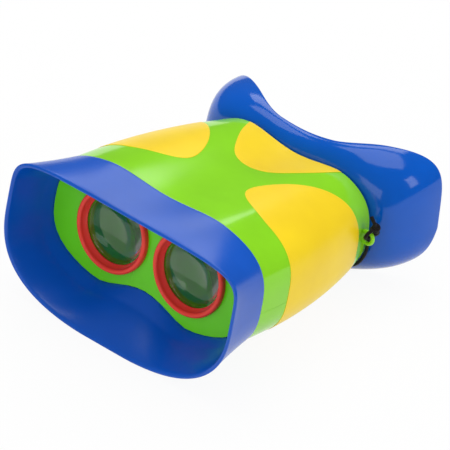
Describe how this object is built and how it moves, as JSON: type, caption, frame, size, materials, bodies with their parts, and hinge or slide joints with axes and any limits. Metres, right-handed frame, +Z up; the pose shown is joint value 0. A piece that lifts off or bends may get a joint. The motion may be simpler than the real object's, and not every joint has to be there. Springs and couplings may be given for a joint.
{
  "type": "toy binoculars",
  "caption": "Child's toy binoculars: blue lens hood, green and yellow body, red lens rims, soft blue eye shield and a neck cord with a breakaway clasp.",
  "frame": {"origin": "on the surface it rests on, under the middle of the object's length and width, cords left out", "axes": "+X across the two lenses, to the right for a viewer who faces the hood, +Y from the hood to the eye shield, +Z up from the surface"},
  "size_m": [0.1586, 0.2169, 0.0794],
  "materials": {
    "hood_blue": "moulded, glossy",
    "plate_green": "moulded, glossy",
    "body_green": "moulded, glossy",
    "grip_yellow": "soft, satin",
    "rim_red": "moulded, glossy",
    "lens_clear": "clear, polished",
    "inner_dark": "matt, dark green",
    "shield_blue": "soft, smooth",
    "screw_steel": "plain",
    "cord_black": "braided",
    "tie_dark": "matt",
    "clasp_black": "moulded"
  },
  "bodies": {
    "binoculars": {"lens_hood": "hood_blue", "front_plate": "plate_green", "lens_rim_left": "rim_red", "lens_rim_right": "rim_red", "front_lens_left": "lens_clear", "front_lens_right": "lens_clear", "lens_retainer_left": "inner_dark", "lens_retainer_right": "inner_dark", "light_tube_left": "inner_dark", "light_tube_right": "inner_dark", "top_shell": "body_green", "bottom_shell": "body_green", "grip_left": "grip_yellow", "grip_right": "grip_yellow", "grip_bridge": "grip_yellow", "eye_plate": "plate_green", "eye_rim_left": "rim_red", "eye_rim_right": "rim_red", "eye_lens_left": "lens_clear", "eye_lens_right": "lens_clear", "eye_shield": "shield_blue", "body_screws": "screw_steel", "cord_knot_left": "cord_black", "cord_knot_right": "cord_black", "neck_cord_left": "cord_black", "neck_cord_right": "cord_black", "cord_coil": "cord_black", "coil_tie": "tie_dark", "clasp_socket": "clasp_black"},
    "clasp_half": {"clasp_plug": "clasp_black"}
  },
  "joints": [
    {"name": "clasp_release", "type": "slide", "parent": "binoculars", "child": "clasp_half", "axis": [0, -1, 0], "range_m": [0, 0.008], "deforming": ["neck_cord_left"]}
  ]
}
